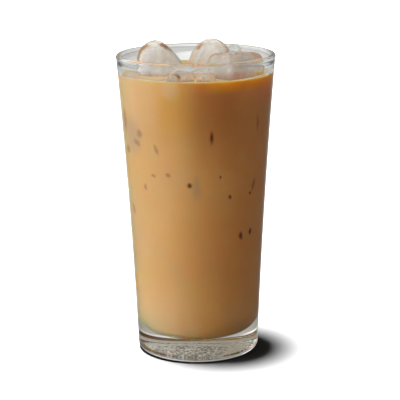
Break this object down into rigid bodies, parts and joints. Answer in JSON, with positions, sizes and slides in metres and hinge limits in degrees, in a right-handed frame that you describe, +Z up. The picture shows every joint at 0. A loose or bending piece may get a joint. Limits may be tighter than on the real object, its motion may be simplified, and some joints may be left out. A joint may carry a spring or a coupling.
{
  "type": "iced mocha",
  "caption": "Iced mocha in a tall tapered clear tumbler, milky brown, with half-melted ice cubes standing out of its surface.",
  "frame": {"origin": "centre of the foot, on the surface that the tumbler stands on", "axes": "+Z up along the tumbler's axis; -Y towards the viewer of the picture; +X to that viewer's right"},
  "size_m": [0.0836, 0.0836, 0.1674],
  "materials": {
    "glass": "clear colourless soda-lime glass, fire-polished rim, fine stipple in the punt",
    "drink": "opaque milky coffee with chocolate, faint paler swirls, wet surface with a meniscus",
    "ice": "half-melted wet ice, clear outside with a cloudy core, thin films of coffee on it"
  },
  "bodies": {
    "root": {"glass": "glass", "drink": "drink", "ice_left": "ice", "ice_middle": "ice", "ice_right": "ice", "ice_front": "ice", "ice_chip": "ice", "ice_back": "ice"}
  },
  "joints": []
}
